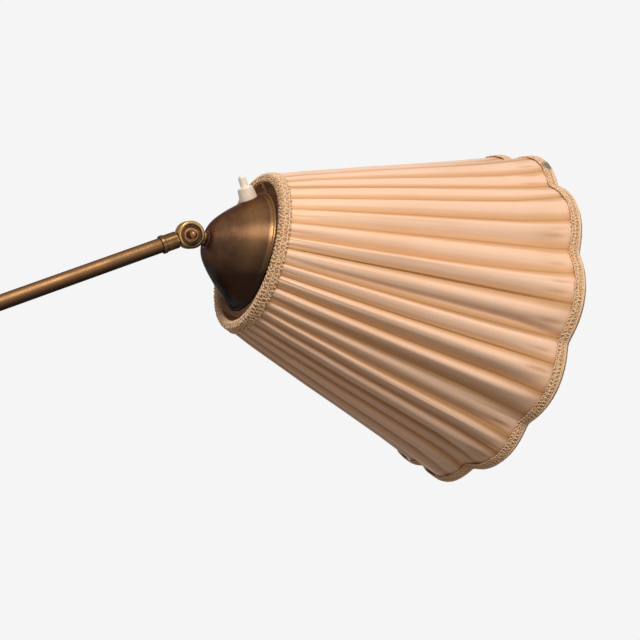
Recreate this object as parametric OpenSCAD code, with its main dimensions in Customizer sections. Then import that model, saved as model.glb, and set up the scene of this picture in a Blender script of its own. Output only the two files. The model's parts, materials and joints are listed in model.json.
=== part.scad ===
// Bridge floor lamp: a weighted round base, an upright stem, a swivelling and
// tilting arm, and a tilting head with a spun dome and a scalloped fabric shade.
// The origin is the centre of the base's underside, +Z is up, and the arm
// reaches along +X. All lengths are in millimetres and all angles in degrees.

/* [Base] */
// Outer diameter of the base
base_d = 260; // [230:5:320]
// Height of the cover's edge above the felt
base_edge_h = 22; // [21:1:30]
// How much higher the middle of the cover is than its edge
base_rise = 8; // [6:1:14]
// Radius of the cover's rounded edge
base_round_r = 7; // [5:0.5:7.5]
// Thickness of the cover's sheet
cover_wall = 1.2; // [1:0.1:1.6]
// Thickness of the iron weight
weight_h = 18; // [17:0.5:18.5]
// Thickness of the felt
felt_h = 2; // [1.5:0.5:3]
// How far the felt stays inside the base's outer edge
felt_inset = 4; // [3:0.5:8]

/* [Cord inlet] */
// Bore of the bushing that a cord passes
inlet_bore_d = 7; // [6:0.5:8]
// Outer diameter of the bushing's barrel
inlet_barrel_d = 10; // [9.5:0.5:11]
// Diameter of the bushing's flange
inlet_flange_d = 13; // [12:0.5:14]
// Thickness of the bushing's flange
inlet_flange_h = 1.8; // [1.2:0.2:2.4]
// How far the bushing's barrel reaches behind its flange
inlet_barrel_len = 8; // [6:0.5:10]
// Height of the bushing's axis above the felt
inlet_h = 7.5; // [7.2:0.1:8]

/* [Stem] */
// Outer diameter of the stem
stem_d = 18; // [17:0.5:20]
// Wall of the stem
stem_wall = 1.2; // [1:0.1:1.5]
// Length of the stem's tube
stem_len = 1040; // [800:10:1300]
// Diameter of the collar at the stem's foot
collar_d = 36; // [32:1:42]
// Height of the collar at the stem's foot
collar_h = 13; // [10:1:18]
// How deep the bushes sit in the stem
bush_len = 22; // [15:1:30]

/* [Fastenings] */
// Diameter of the lamp thread on the bush, the head's spigot and the switch
thread_d = 10; // [9.5:0.5:10]
// Bore for wires through the threaded pieces
wire_bore_d = 5.6; // [5:0.2:6]
// Thickness of the hexagon nuts
nut_h = 4; // [3:0.5:5]
// Width across the corners of the hexagon nuts
nut_corner_d = 16.2; // [15.6:0.2:17]
// Radial clearance of pieces that are fitted together and stay put
seat_gap = 0.05; // [0.04:0.01:0.08]
// Radial clearance of holes in sheet round a thread
hole_gap = 0.2; // [0.15:0.05:0.3]
// Clearance of faces and shafts that turn or slide on each other
run_gap = 0.05; // [0.03:0.01:0.08]

/* [Swivel] */
// Height of the swivel's socket
socket_h = 20; // [18:1:26]
// Thickness of the spindle's flange
flange_h = 3; // [2:0.5:5]
// Thickness of the friction washers of the swivel and the neck
washer_h = 1; // [0.8:0.1:1.2]
// Length of the swivel's spindle above its flange
spindle_len = 16; // [15.5:0.5:17]
// Depth of the spindle's groove
groove_depth = 0.8; // [0.6:0.1:0.9]
// Diameter of the grub screw
grub_d = 4; // [3:0.5:4.5]
// Length of the necks between a socket and its knuckle
neck_len = 4; // [3:0.5:8]

/* [Knuckles] */
// Diameter of the knuckles
knuckle_d = 22.5; // [21:0.5:24]
// Thickness of a whole knuckle
knuckle_t = 12; // [11:0.5:14]
// Thickness of the washer between a knuckle's halves
knuckle_washer_h = 0.6; // [0.4:0.1:1]
// Diameter of the knuckle screws
knuckle_screw_d = 5; // [4.5:0.5:5]
// Diameter of the screws' ball ends
ball_d = 6.8; // [6.6:0.2:7.4]
// How far a ball's centre stands out of the knuckle's face
ball_out = 3; // [2:0.1:3.4]
// Width of the knuckles' rounded rims
rim_w = 3.2; // [2.8:0.1:3.4]
// Depth of the dish inside the rim
dish_depth = 1.9; // [1.6:0.1:2.2]

/* [Arm] */
// Distance between the arm's two pivots
arm_reach = 421.5; // [300:0.5:520]
// Angle of the arm above level
arm_rise = 19.8; // [0:0.1:45]
// Outer diameter of the arm's tube
arm_d = 12; // [11:0.5:12.5]
// Wall of the arm's tube
arm_wall = 1; // [0.8:0.1:1.2]
// Outer diameter of the sleeves that hold the tube
sleeve_d = 13.8; // [13.6:0.1:14.4]
// Distance from a pivot to the end of its sleeve
sleeve_end = 25.5; // [23:0.5:32]
// Outer diameter of the lip on a sleeve's end
lip_d = 15; // [14.6:0.1:16]
// Length of the lip
lip_w = 3.6; // [3:0.2:5]

/* [Dome] */
// Angle of the head's axis below level
head_pitch = 14.2; // [0:0.1:40]
// Distance from the upper pivot to the dome's crown
crown_z = 14.7; // [14.5:0.1:20]
// Depth of the dome from crown to rim
dome_depth = 36.9; // [34:0.1:42]
// Diameter of the dome at its rim
dome_d = 97.4; // [90:0.2:99]
// Diameter of the dome's flat crown
crown_d = 24; // [20:1:26]
// How far the crown's level line reaches before the dome turns down
dome_shoulder = 9.5; // [6:0.5:11]
// How far the rim's turn reaches back up the dome
dome_rim_pull = 3; // [2:0.5:6]
// Angle of the dome's wall to its axis at the rim
dome_rim_angle = 15; // [5:1:30]
// Thickness of the dome's sheet
dome_wall = 0.9; // [0.8:0.1:1]
// Diameter of the dome's rolled rim
bead_d = 2.8; // [2.4:0.1:3.4]

/* [Switch] */
// Where the switch sits along the dome's curve, from crown to rim
switch_at = 0.69; // [0.67:0.01:0.71]
// Angle between the switch and the head's cross direction
switch_tilt = 34; // [30:1:42]
// Diameter of the push button
plunger_d = 6.4; // [6:0.1:6.6]
// How far the button stands out of its collar
plunger_out = 10; // [8:0.5:12]
// Travel of the button
plunger_travel = 3; // [2:0.5:4]
// Diameter of the collar where it meets the dome
switch_collar_d = 15; // [14.8:0.1:16]
// Diameter of the collar at its top
switch_collar_top_d = 13.4; // [12:0.2:14.8]
// Height of the collar above the dome
switch_collar_h = 10.4; // [9:0.2:12]
// Diameter of the switch's body inside the dome
switch_body_d = 14; // [13:0.5:14.5]
// Length of the switch's body inside the dome
switch_body_len = 11.5; // [11:0.5:12]

/* [Lampholder and bulb] */
// Outer diameter of the lampholder
holder_d = 39; // [38:0.5:40]
// Wall of the lampholder's shells
holder_wall = 1.6; // [1.4:0.1:2]
// Length of the lampholder's cap
holder_cap_h = 22; // [20:1:24]
// Length of the lampholder's sleeve
holder_sleeve_h = 34; // [30:1:38]
// Height of the ceramic insert
insert_h = 14; // [12:1:16]
// Diameter of the ring nuts
ring_nut_d = 54; // [50:1:58]
// Thickness of a ring nut
ring_nut_h = 4; // [3:0.5:5]
// Diameter of the bulb's screw cap
bulb_cap_d = 26; // [25.5:0.5:26.5]
// Length of the bulb's screw cap
bulb_cap_h = 25; // [23:1:27]
// Largest diameter of the bulb
bulb_d = 60; // [50:1:66]
// Length of the bulb's glass
bulb_len = 84; // [78:1:90]
// Thickness of the bulb's glass
bulb_wall = 0.8; // [0.6:0.1:1]

/* [Shade] */
// Distance from the upper pivot to the edge of the upper braid
shade_top_z = 49.3; // [48:0.1:56]
// Distance from the upper pivot to the shade's mouth
shade_mouth_z = 280.3; // [240:0.1:300]
// Radius of the shade's top, at the middle of the braid
shade_top_r = 63.5; // [62:0.5:70]
// Radius of the wrapped wire's outside at the notches between the scallops
notch_r = 142.7; // [120:0.1:150]
// How far the scallops swell beyond the notches
scallop_rise = 9.7; // [6:0.1:12]
// Angle from the head's far side to the first notch
notch_angle = 7.5; // [0:0.5:15]
// Angle of the first of the carrier's three arms round the head's axis
carrier_turn = 52; // [50:1:54]
// Wire of the top ring and of the arms that carry it
wire_d = 2.6; // [2.2:0.1:3]
// Wire of the struts
strut_d = 2; // [1.6:0.1:2.4]
// Wrapped wire of the scalloped edge
edge_wire_d = 3; // [2.6:0.1:3.4]
// Thickness of the gathered cloth
cloth_t = 1.2; // [1:0.1:1.6]
// How far the cloth goes out over the scalloped wire's middle line
cloth_over_wire = 1.3; // [1:0.1:1.6]
// Width of the upper braid
top_braid_w = 9; // [7:0.5:11]
// Width of the lower braid
bottom_braid_w = 6.5; // [5:0.5:8]
// Thickness of the braid
braid_t = 0.9; // [0.8:0.1:1.2]
// Space between the soft pieces and their neighbours
soft_gap = 0.3; // [0.25:0.05:0.4]

/* [Hidden] */

$fn = 64;
e = 0.01;                    // how far a cut runs past a face
arc_steps = 10;              // straight pieces in a quarter round
lobes = 12;                  // scallops round the mouth
folds_per_lobe = 4;          // main folds of cloth in a scallop
fold_shape = [0, 0.7, 1, 0.5]; // height of a fold at its four lines
fold_rise = [0.6, 3, 0.9];   // height of the folds at the top, halfway and at the mouth
edge_steps = 8;              // pieces of a scallop's wire and braid

base_r = base_d / 2;
stem_r = stem_d / 2;
thread_r = thread_d / 2;
wire_bore_r = wire_bore_d / 2;

// Levels of the base, from the floor up
weight_top = felt_h + weight_h;
cover_edge_z = felt_h + base_edge_h;
cover_top = cover_edge_z + base_rise;
nut_recess_r = nut_corner_d / 2 + 7;
nut_recess_h = 2 * nut_h + 3;
foot_washer_h = 2;
foot_flat_r = collar_d / 2 + 6;      // flat middle of the cover and the weight's boss
thread_past_nut = 1.5;
inlet_z = felt_h + inlet_h;
channel_w = inlet_barrel_d + 2;
channel_top = inlet_z + inlet_barrel_d / 2 + 1;

// Levels of the swivel
stem_top = cover_top + stem_len;
flange_top = stem_top + flange_h;
socket_z = flange_top + washer_h + run_gap;
groove_z = flange_top + spindle_len / 2;
groove_w = grub_d + 1;
knuckle_r = knuckle_d / 2;
neck_start = knuckle_r + 0.6;
lower_pivot_z = socket_z + socket_h + neck_len + neck_start;
neck_r = sleeve_d / 2;

// Knuckle halves, measured outwards from the joint's middle plane
half_in = knuckle_washer_h / 2 + run_gap / 2;
half_out = knuckle_t / 2;
knuckle_bore_r = knuckle_screw_d / 2 + run_gap;
boss_r = ball_d / 2 + 1.2;           // raised ring inside the dish
boss_drop = 1;                       // how far the ring stays below the rim
screw_collar_h = 0.9;
wire_groove_r = [3.8, knuckle_r - rim_w];
wire_groove_depth = 2;
tongue_w = 9;
tongue_start = knuckle_r - rim_w + 0.8;

// Arm
arm_r = arm_d / 2;
tube_seat_z = neck_start + 4;        // where the tube's end rests in a sleeve
upper_pivot = [arm_reach * cos(arm_rise), 0, lower_pivot_z + arm_reach * sin(arm_rise)];

// Head, measured from the upper pivot along the head's axis
head_neck_d = 12;
head_neck_end = crown_z - washer_h;
spigot_end = crown_z + dome_wall + nut_h + 9;
dome_rim_z = crown_z + dome_depth;
dome_nut_z = crown_z + dome_wall;
holder_z = dome_nut_z + nut_h + 0.5;
holder_r = holder_d / 2;
holder_roof = 3;
sleeve_z = holder_z + holder_cap_h;
insert_z = sleeve_z - insert_h + 6;
sleeve_lap = 6;                      // how far the sleeve screws into the cap
carrier_z = sleeve_z + 13;           // plane of the shade's carrier ring
carrier_t = 1.6;
carrier_r = ring_nut_d / 2 + 3;
bulb_cap_z = insert_z + insert_h + 2.2;
bulb_glass_z = bulb_cap_z + bulb_cap_h;
bulb_neck_r = bulb_cap_d / 2 - 1.6;

// Shade
wire_r = wire_d / 2;
top_ring_z = shade_top_z + braid_t + soft_gap + wire_r;
top_ring_r = shade_top_r - wire_r - 0.5;
cloth_top_z = shade_top_z + braid_t + soft_gap;
cloth_top_r = top_ring_r + wire_r + soft_gap + cloth_t;
edge_wire_r = edge_wire_d / 2;
edge_wire_z = shade_mouth_z - edge_wire_r;
cloth_end_z = edge_wire_z - edge_wire_r - soft_gap;
lobe_angle = 360 / lobes;
cloth_cols = lobes * folds_per_lobe * len(fold_shape);

// A quarter or half round of radius r about [cx, cy], from angle a0 to a1
function arc(cx, cy, r, a0, a1) =
    [for (i = [0:arc_steps]) let (a = a0 + (a1 - a0) * i / arc_steps) [cx + r * cos(a), cy + r * sin(a)]];

// The dome's outer line, a cubic curve from the crown's edge to the rim
dome_line = [
    [crown_d / 2, crown_z],
    [crown_d / 2 + dome_shoulder, crown_z],
    [dome_d / 2 - dome_rim_pull * sin(dome_rim_angle), dome_rim_z - dome_rim_pull * cos(dome_rim_angle)],
    [dome_d / 2, dome_rim_z]
];
function dome_at(t) = pow(1 - t, 3) * dome_line[0] + 3 * pow(1 - t, 2) * t * dome_line[1]
    + 3 * (1 - t) * t * t * dome_line[2] + pow(t, 3) * dome_line[3];
function dome_dir(t) = 3 * pow(1 - t, 2) * (dome_line[1] - dome_line[0])
    + 6 * (1 - t) * t * (dome_line[2] - dome_line[1]) + 3 * t * t * (dome_line[3] - dome_line[2]);
function dome_inside(t) = let (d = dome_dir(t) / norm(dome_dir(t))) dome_at(t) + dome_wall * [-d[1], d[0]];
dome_steps = 24;

// The scalloped edge: radius at angle a round the head's axis, outermost point of the wire
function scallop(a) = let (t = (a - notch_angle) / lobe_angle, u = t - floor(t)) 4 * u * (1 - u);
function edge_r(a) = notch_r + scallop_rise * scallop(a) - edge_wire_r;

// The cloth's outer radius without its folds, from v = 0 at the top to v = 1 at the mouth
function cloth_r(a, v) = (1 - v) * cloth_top_r + v * (edge_r(a) + cloth_over_wire);
function cloth_z(v) = cloth_top_z + v * (cloth_end_z - cloth_top_z);
function polar(r, a, z) = [r * cos(a), r * sin(a), z];

module in_arm() {
    translate([0, 0, lower_pivot_z]) rotate([0, 90 - arm_rise, 0]) children();
}

module in_head() {
    translate(upper_pivot) rotate([0, 90 + head_pitch, 0]) children();
}

// The switch's frame: origin on the dome, +Z out of the dome, at the head's top
module in_switch() {
    in_head() {
        translate([-dome_at(switch_at)[0], 0, dome_at(switch_at)[1]])
            rotate([0, -90 - switch_tilt, 0]) children();
    }
}

module at_both_pivots() {
    translate([0, 0, lower_pivot_z]) children();
    translate(upper_pivot) children();
}

module ring(r_out, r_in, h) {
    difference() {
        cylinder(r = r_out, h = h);
        translate([0, 0, -e]) cylinder(r = r_in, h = h + 2 * e);
    }
}

module hex_nut(bore_r) {
    difference() {
        cylinder(r = nut_corner_d / 2, h = nut_h, $fn = 6);
        translate([0, 0, -e]) cylinder(r = bore_r, h = nut_h + 2 * e);
    }
}

// A closed tube or band: rings of points joined in a loop round the head's axis
module closed_band(rings) {
    n = len(rings);
    m = len(rings[0]);
    polyhedron(
        points = [for (ring = rings) for (p = ring) p],
        faces = [for (i = [0:n - 1]) for (j = [0:m - 1])
            let (i2 = (i + 1) % n, j2 = (j + 1) % m)
            each [[i * m + j, i * m + j2, i2 * m + j2], [i * m + j, i2 * m + j2, i2 * m + j]]],
        convexity = 6
    );
}

// ---- Base ----

function cover_line(wall) = concat(
    [[base_r - wall, felt_h]],
    arc(base_r - base_round_r, cover_edge_z - base_round_r, base_round_r - wall, 0, 90),
    [for (i = [1:arc_steps]) let (u = i / arc_steps, r0 = base_r - base_round_r)
        [r0 + (foot_flat_r - r0) * u, cover_edge_z - wall + base_rise * (1 - pow(1 - u, 2))]]
);

module base_felt() {
    color("darkolivegreen") cylinder(r = base_r - felt_inset, h = felt_h);
}

module base_weight() {
    weight_r = base_r - cover_wall - seat_gap;
    boss_top = cover_top - cover_wall;
    color("dimgray") difference() {
        union() {
            rotate_extrude() polygon([
                [0, felt_h], [weight_r, felt_h], [weight_r, weight_top - base_round_r],
                [weight_r - base_round_r, weight_top], [0, weight_top]
            ]);
            translate([0, 0, weight_top - 1]) cylinder(r = foot_flat_r, h = boss_top - weight_top + 1);
        }
        translate([0, 0, felt_h - e]) cylinder(r = nut_recess_r, h = nut_recess_h + e);
        cylinder(r = thread_r + hole_gap, h = cover_top);
        translate([-base_r, -channel_w / 2, felt_h - e])
            cube([base_r - nut_recess_r + 2, channel_w, channel_top - felt_h + e]);
    }
}

module base_cover() {
    color("darkgoldenrod") difference() {
        rotate_extrude() polygon(concat([[0, felt_h]], cover_line(0), [[0, cover_top]]));
        rotate_extrude() polygon(concat([[0, felt_h - 1], [base_r - cover_wall, felt_h - 1]],
            cover_line(cover_wall), [[0, cover_top - cover_wall]]));
        cylinder(r = thread_r + hole_gap, h = cover_top + 1);
        translate([-base_r - 1, 0, inlet_z]) rotate([0, 90, 0])
            cylinder(d = inlet_barrel_d + 2 * seat_gap, h = inlet_barrel_len);
    }
}

module base_washer() {
    color("silver") translate([0, 0, felt_h + nut_recess_h - foot_washer_h])
        ring(nut_recess_r - 1, thread_r + hole_gap, foot_washer_h);
}

module base_nut() {
    color("silver") translate([0, 0, felt_h + nut_recess_h - foot_washer_h - nut_h])
        hex_nut(thread_r + seat_gap);
}

module cord_bushing() {
    color("black") translate([-base_r, 0, inlet_z]) rotate([0, 90, 0]) difference() {
        union() {
            translate([0, 0, -inlet_flange_h]) cylinder(d = inlet_flange_d, h = inlet_flange_h);
            cylinder(d = inlet_barrel_d, h = inlet_barrel_len);
        }
        translate([0, 0, -inlet_flange_h - e])
            cylinder(d = inlet_bore_d, h = inlet_flange_h + inlet_barrel_len + 2 * e);
    }
}

// ---- Stem ----

module foot_bush() {
    spigot_low = felt_h + nut_recess_h - foot_washer_h - nut_h - thread_past_nut;
    color("goldenrod") difference() {
        union() {
            translate([0, 0, cover_top]) cylinder(r = stem_r - stem_wall - seat_gap, h = bush_len);
            translate([0, 0, spigot_low]) cylinder(r = thread_r, h = cover_top - spigot_low + 1);
        }
        translate([0, 0, spigot_low - e]) cylinder(r = wire_bore_r, h = cover_top + bush_len);
    }
}

module stem_collar() {
    collar_r = collar_d / 2;
    top_r = stem_r + 2.4;
    foot_h = 3;
    hollow = collar_r - top_r - 1;
    bore_r = stem_r + seat_gap;
    color("darkgoldenrod") translate([0, 0, cover_top]) rotate_extrude() polygon(concat(
        [[bore_r, 0], [collar_r, 0], [collar_r, foot_h - 1], [collar_r - 1, foot_h]],
        [for (i = [0:arc_steps]) let (a = 90 * i / arc_steps)
            [top_r + hollow * (1 - sin(a)), collar_h - 1.5 - (collar_h - 1.5 - foot_h) * cos(a)]],
        arc(top_r - 0.75, collar_h - 0.75, 0.75, 0, 90),
        [[bore_r, collar_h]]
    ));
}

module stem_tube() {
    color("darkgoldenrod") translate([0, 0, cover_top]) ring(stem_r, stem_r - stem_wall, stem_len);
}

module swivel_spindle() {
    groove_r = thread_r - groove_depth;
    color("goldenrod") difference() {
        union() {
            translate([0, 0, stem_top - bush_len])
                cylinder(r = stem_r - stem_wall - seat_gap, h = bush_len + 1);
            translate([0, 0, stem_top]) cylinder(r = stem_r, h = flange_h);
            translate([0, 0, stem_top + 1]) cylinder(r = thread_r, h = flange_h - 1 + spindle_len);
        }
        translate([0, 0, stem_top - bush_len - e])
            cylinder(r = wire_bore_r, h = bush_len + flange_h + spindle_len + 1);
        translate([0, 0, groove_z - groove_w / 2]) ring(stem_r, groove_r, groove_w);
    }
}

module swivel_washer() {
    color("saddlebrown") translate([0, 0, flange_top]) ring(stem_r - 0.4, thread_r + hole_gap, washer_h);
}

// ---- Knuckles ----

// Half a knuckle in its own frame: the joint's axis is Y, the neck leaves along +Z.
// The half lies on the +Y side.
module half_disc() {
    dish_r = knuckle_r - rim_w;
    rim_round = rim_w / 2;
    difference() {
        rotate([-90, 0, 0]) rotate_extrude() polygon(concat(
            [[knuckle_bore_r, half_in], [knuckle_r, half_in]],
            arc(knuckle_r - rim_round, half_out - rim_round, rim_round, 0, 180),
            [[dish_r - 0.4, half_out - dish_depth], [boss_r, half_out - dish_depth],
             [boss_r - 0.3, half_out - boss_drop], [knuckle_bore_r, half_out - boss_drop]]
        ));
        rotate([-90, 0, 0]) translate([0, 0, half_in - e])
            ring(wire_groove_r[1], wire_groove_r[0], wire_groove_depth);
    }
    translate([-tongue_w / 2, half_in, tongue_start])
        cube([tongue_w, half_out - half_in - 0.7, neck_start - tongue_start + 1]);
}

// The wires' way from a neck into the groove between the halves
module wire_way(far_end) {
    translate([0, 0, wire_groove_r[1] - 2]) cylinder(r = wire_bore_r, h = far_end);
}

module knuckle_sleeve() {
    difference() {
        union() {
            half_disc();
            translate([0, 0, neck_start]) cylinder(r = neck_r, h = sleeve_end - neck_start - lip_w / 2);
            translate([0, 0, sleeve_end - lip_w]) rotate_extrude() polygon(concat(
                [[0, 0], [neck_r - 0.2, 0]],
                arc(lip_d / 2 - 0.6, 0.6, 0.6, -90, 0),
                arc(lip_d / 2 - 0.6, lip_w - 0.6, 0.6, 0, 90),
                [[0, lip_w]]
            ));
        }
        wire_way(sleeve_end);
        translate([0, 0, tube_seat_z]) cylinder(r = arm_r + seat_gap, h = sleeve_end);
    }
}

module stem_knuckle() {
    shoulder_r = 2.5;
    socket_top = socket_z + socket_h;
    color("darkgoldenrod") difference() {
        union() {
            translate([0, 0, lower_pivot_z]) mirror([0, 1, 0]) mirror([0, 0, 1]) half_disc();
            translate([0, 0, socket_z]) rotate_extrude() polygon(concat(
                [[0, 0], [stem_r, 0]],
                arc(stem_r - shoulder_r, socket_h - shoulder_r, shoulder_r, 0, 90),
                [[neck_r, socket_h + 0.4], [neck_r, socket_h + neck_len], [0, socket_h + neck_len]]
            ));
        }
        translate([0, 0, socket_z - e]) cylinder(r = thread_r + run_gap, h = spindle_len - washer_h + 0.6);
        translate([0, 0, socket_z])
            cylinder(r = wire_bore_r, h = lower_pivot_z - socket_z - wire_groove_r[1] + 2);
        translate([0, 0, groove_z]) rotate([90, 0, 90]) cylinder(d = grub_d + 2 * seat_gap, h = stem_r + 1);
    }
}

module swivel_screw() {
    color("goldenrod") translate([0, 0, groove_z]) rotate([0, 90, 0])
        translate([0, 0, thread_r - groove_depth + 0.3]) difference() {
            cylinder(d = grub_d, h = stem_r - thread_r + groove_depth + 0.4);
            translate([-grub_d, -0.4, stem_r - thread_r + groove_depth - 0.4]) cube([2 * grub_d, 0.8, 1]);
        }
}

module lower_arm_knuckle() {
    color("darkgoldenrod") in_arm() knuckle_sleeve();
}

module upper_arm_knuckle() {
    color("darkgoldenrod") in_arm() translate([0, 0, arm_reach]) mirror([0, 0, 1]) knuckle_sleeve();
}

module arm_tube() {
    end_gap = 0.2;
    color("darkgoldenrod") in_arm() translate([0, 0, tube_seat_z + end_gap])
        ring(arm_r, arm_r - arm_wall, arm_reach - 2 * tube_seat_z - 2 * end_gap);
}

module knuckle_washers() {
    color("saddlebrown") at_both_pivots() translate([0, -knuckle_washer_h / 2, 0]) rotate([-90, 0, 0])
        ring(knuckle_r - 0.4, wire_groove_r[1] + 0.2, knuckle_washer_h);
}

// A knuckle's screw: ball on -Y, collar on the boss, shank through to the nut on +Y
module knuckle_screws() {
    ball_r = ball_d / 2;
    collar_y = half_out - boss_drop + run_gap;
    color("darkgoldenrod") at_both_pivots() rotate([90, 0, 0]) {
        translate([0, 0, half_out + ball_out]) sphere(r = ball_r);
        translate([0, 0, collar_y]) cylinder(r = boss_r - 1.1, h = screw_collar_h);
        translate([0, 0, collar_y]) cylinder(r = knuckle_screw_d / 2, h = half_out + ball_out - collar_y);
        translate([0, 0, -half_out - 2]) cylinder(r = knuckle_screw_d / 2, h = half_out + 2 + collar_y + 0.2);
    }
}

module knuckle_nuts() {
    nut_r = boss_r - 0.3;
    face = half_out - boss_drop;
    cap_h = 5;
    color("darkgoldenrod") at_both_pivots() rotate([-90, 0, 0]) difference() {
        translate([0, 0, face]) rotate_extrude() polygon(concat(
            [[0, 0], [nut_r, 0]],
            [for (i = [0:arc_steps]) let (a = 90 * i / arc_steps)
                [nut_r * cos(a), 1.6 + (cap_h - 1.6) * sin(a)]]
        ));
        translate([0, 0, face - e]) cylinder(r = knuckle_bore_r, h = boss_drop + 2.3);
    }
}

// ---- Head ----

module head_knuckle() {
    color("darkgoldenrod") in_head() difference() {
        union() {
            mirror([0, 1, 0]) half_disc();
            translate([0, 0, neck_start]) cylinder(d = head_neck_d, h = head_neck_end - neck_start);
            translate([0, 0, neck_start + 1]) cylinder(r = thread_r, h = spigot_end - neck_start - 1);
        }
        wire_way(spigot_end);
    }
}

module neck_washer() {
    color("rosybrown") in_head() translate([0, 0, head_neck_end])
        ring(head_neck_d / 2 + 1, thread_r + hole_gap, washer_h);
}

// Solid inside the dome's outer line, grown by gap
module dome_solid(gap) {
    rotate_extrude() polygon(concat(
        [[0, crown_z - gap]],
        [for (i = [0:dome_steps]) let (t = i / dome_steps, d = dome_dir(t) / norm(dome_dir(t)))
            dome_at(t) + gap * [d[1], -d[0]]],
        [[0, dome_rim_z]]
    ));
}

module dome() {
    bead_r = bead_d / 2;
    color("darkgoldenrod") difference() {
        in_head() {
            rotate_extrude() polygon(concat(
                [[thread_r + hole_gap, crown_z]],
                [for (i = [0:dome_steps]) dome_at(i / dome_steps)],
                [for (i = [dome_steps:-1:0]) dome_inside(i / dome_steps)],
                [[thread_r + hole_gap, crown_z + dome_wall]]
            ));
            rotate_extrude() translate([dome_d / 2 + bead_r / 2 - 0.1, dome_rim_z + bead_r / 2])
                circle(r = bead_r, $fn = 24);
        }
        in_switch() translate([0, 0, -5]) cylinder(r = thread_r + hole_gap, h = 10);
    }
}

module dome_nut() {
    color("silver") in_head() translate([0, 0, dome_nut_z]) hex_nut(thread_r + seat_gap);
}

// ---- Lampholder and bulb ----

module holder_cap() {
    shoulder = 7;
    inner_r = holder_r - holder_wall;
    color("dimgray") in_head() translate([0, 0, holder_z]) difference() {
        rotate_extrude() polygon(concat(
            [[0, 0]],
            arc(holder_r - shoulder, shoulder, shoulder, -90, 0),
            [[holder_r, holder_cap_h], [0, holder_cap_h]]
        ));
        rotate_extrude() polygon(concat(
            [[0, holder_roof]],
            arc(inner_r - shoulder + 2, holder_roof + shoulder - 2, shoulder - 2, -90, 0),
            [[inner_r, holder_cap_h + 1], [0, holder_cap_h + 1]]
        ));
        translate([0, 0, -e]) cylinder(r = thread_r + seat_gap, h = holder_roof + 1);
    }
}

// The sleeve screws into the cap and carries the ring nuts on its outside
module holder_sleeve() {
    lap_r = holder_r - holder_wall - seat_gap;
    inner_r = lap_r - holder_wall;
    color("dimgray") in_head() translate([0, 0, sleeve_z]) difference() {
        union() {
            cylinder(r = holder_r, h = holder_sleeve_h);
            translate([0, 0, -sleeve_lap]) cylinder(r = lap_r, h = sleeve_lap + 1);
        }
        translate([0, 0, -sleeve_lap - e]) cylinder(r = inner_r, h = holder_sleeve_h + sleeve_lap + 1);
    }
}

module holder_insert() {
    insert_r = holder_r - 2 * holder_wall - 2 * seat_gap;
    color("ivory") in_head() translate([0, 0, insert_z]) ring(insert_r, 3.5, insert_h);
}

module holder_contact() {
    color("goldenrod") in_head() translate([0, 0, insert_z + 4]) {
        cylinder(r = 3.5 - seat_gap, h = insert_h - 3.5);
        translate([0, 0, insert_h - 4]) cylinder(r = 5, h = 1.2);
    }
}

module holder_rings() {
    bore_r = holder_r + seat_gap;
    color("dimgray") in_head() {
        translate([0, 0, carrier_z - ring_nut_h]) ring(ring_nut_d / 2, bore_r, ring_nut_h);
        translate([0, 0, carrier_z + carrier_t]) ring(ring_nut_d / 2, bore_r, ring_nut_h);
    }
}

module bulb_cap() {
    groove = 0.7;
    pitch = 3.6;
    turns = 5;
    shell = 0.5;
    r = bulb_cap_d / 2;
    color("silver") in_head() translate([0, 0, bulb_cap_z]) rotate_extrude() polygon(concat(
        [[0, -1], [4.5, -1], [5, 0.5], [r - 2.5, 3]],
        [for (i = [0:2 * turns]) [r - (i % 2 == 0 ? groove : 0), 4 + i * pitch / 2]],
        [[r - groove, bulb_cap_h], [r - groove - shell, bulb_cap_h], [r - groove - shell, 5], [0, 5]]
    ));
}

// The bulb's glass: a neck that swells into a ball, as one turned shell
module bulb_glass() {
    color("whitesmoke") in_head() translate([0, 0, bulb_glass_z]) rotate_extrude() polygon(concat(
        bulb_line(0), [for (p = [len(bulb_line(0)) - 1:-1:0]) bulb_line(bulb_wall)[p]]
    ));
}

// The bulb's line from its neck to its tip, wall inside the glass's outer face
function bulb_line(wall) = let (r = bulb_d / 2 - wall, zc = bulb_len - bulb_d / 2, steps = 3 * arc_steps,
    a0 = -asin((bulb_neck_r + 5) / (bulb_d / 2)), neck = bulb_neck_r - wall) concat(
    [[neck, seat_gap], [neck, 10]],
    [for (i = [0:arc_steps]) let (u = i / arc_steps, z1 = zc - r * cos(a0), w = u * u * (3 - 2 * u))
        [neck + (r * sin(-a0) - neck) * w, 10 + (z1 - 10) * u]],
    [for (i = [1:steps]) let (a = -a0 + (180 + a0) * i / steps) [max(0, r * sin(a)), zc - r * cos(a)]]
);

// ---- Switch ----

module switch_body() {
    body_r = switch_body_d / 2;
    flange_z = -dome_wall - 1.6;
    barrel_top = switch_collar_h - 2;
    color("ivory") in_switch() difference() {
        union() {
            translate([0, 0, flange_z - switch_body_len]) cylinder(r = body_r, h = switch_body_len);
            translate([0, 0, flange_z - 1]) cylinder(r = thread_r, h = barrel_top - flange_z + 1);
        }
        translate([0, 0, flange_z - 8]) cylinder(r = plunger_d / 2 + run_gap, h = barrel_top + 20);
    }
}

// The collar screws on the switch's barrel, and its foot follows the dome
module switch_collar() {
    round_r = 1.6;
    r = switch_collar_d / 2;
    top_r = switch_collar_top_d / 2;
    foot = 2.4;
    color("ivory") difference() {
        in_switch() difference() {
            rotate_extrude() polygon(concat(
                [[0, -foot], [r, -foot], [r, 1.5]],
                arc(top_r - round_r, switch_collar_h - round_r, round_r, 0, 90),
                [[0, switch_collar_h]]
            ));
            translate([0, 0, -foot - e]) cylinder(r = thread_r + seat_gap, h = switch_collar_h + foot - 1.8);
            cylinder(r = plunger_d / 2 + 4 * run_gap, h = switch_collar_h + 1);
        }
        in_head() dome_solid(run_gap);
    }
}

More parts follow.
